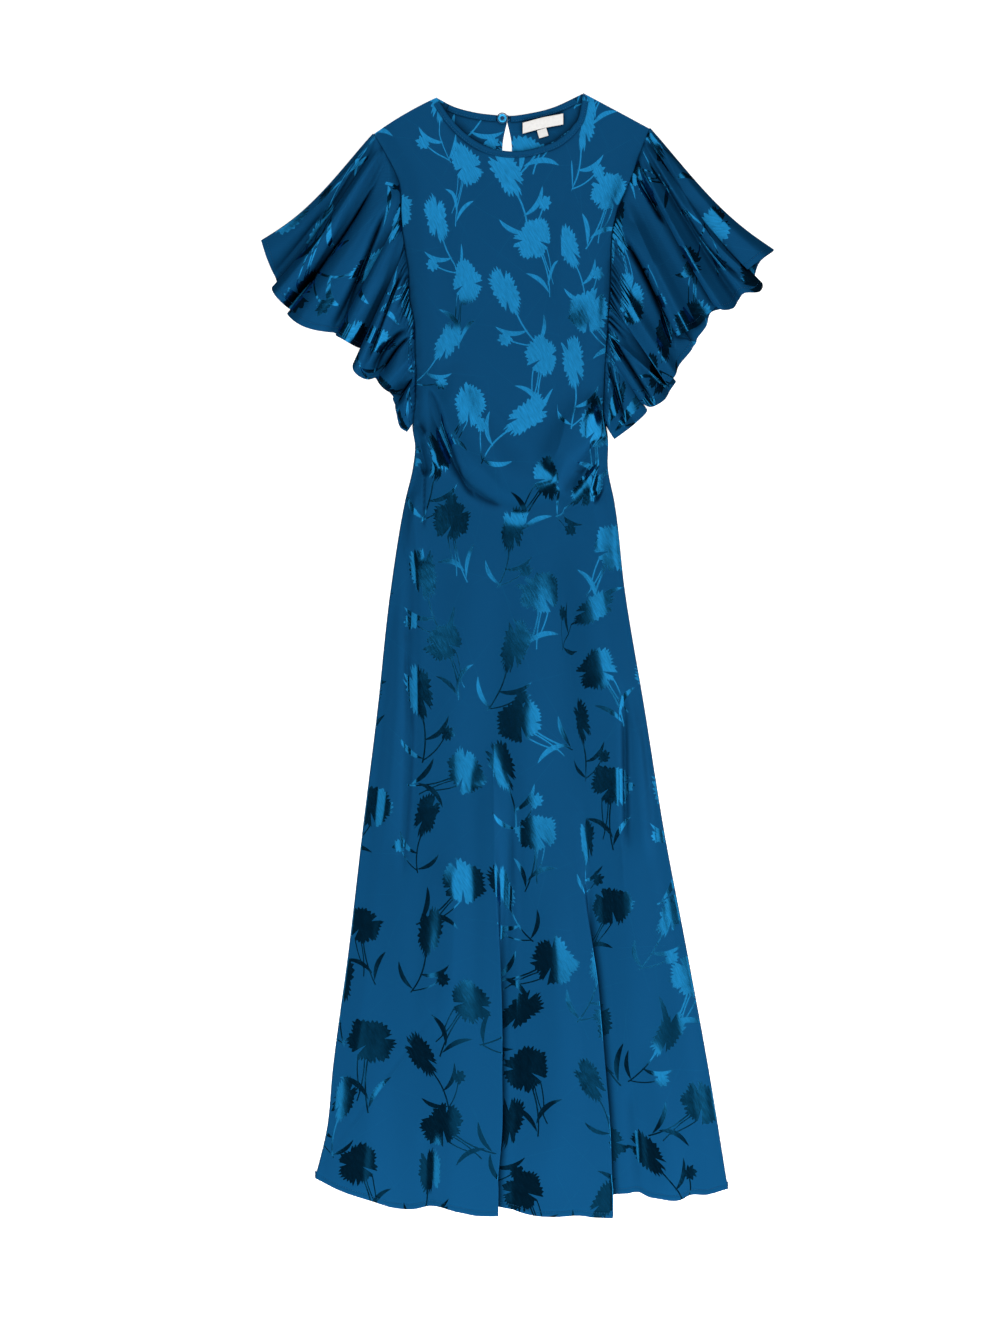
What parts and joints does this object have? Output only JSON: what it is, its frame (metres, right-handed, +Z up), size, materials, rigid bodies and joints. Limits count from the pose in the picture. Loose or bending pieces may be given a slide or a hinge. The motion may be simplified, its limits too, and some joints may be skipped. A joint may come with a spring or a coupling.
{
  "type": "satin column dress laid flat",
  "caption": "Ankle-length satin dress lying flat, with fluted elbow-length sleeves, a bloused waist, knife folds in the skirt and a buttoned keyhole at the back neck.",
  "frame": {"origin": "on the surface that the dress lies on, at the middle of its outline", "axes": "+Y from the hem to the neck, +Z up away from the surface, +X to the right seen from above with the neck at the top"},
  "size_m": [0.6422, 1.4045, 0.015],
  "materials": {
    "satin_front": "satin-backed crepe with a woven floral figure",
    "satin_back": "satin-backed crepe with a woven floral figure",
    "satin_sleeves": "satin-backed crepe with a woven floral figure",
    "satin_binding": "plain self-coloured binding, topstitched",
    "button": "glossy, dished",
    "thread": "worked thread loop",
    "label": "bare woven tape"
  },
  "bodies": {
    "root": {"front": "satin_front", "back": "satin_back", "sleeve_left": "satin_sleeves", "sleeve_right": "satin_sleeves", "neck_binding_front": "satin_binding", "neck_binding_back_left": "satin_binding", "neck_binding_back_right": "satin_binding", "button": "button", "button_loop": "thread", "neck_label": "label", "size_tab": "label"}
  },
  "joints": []
}
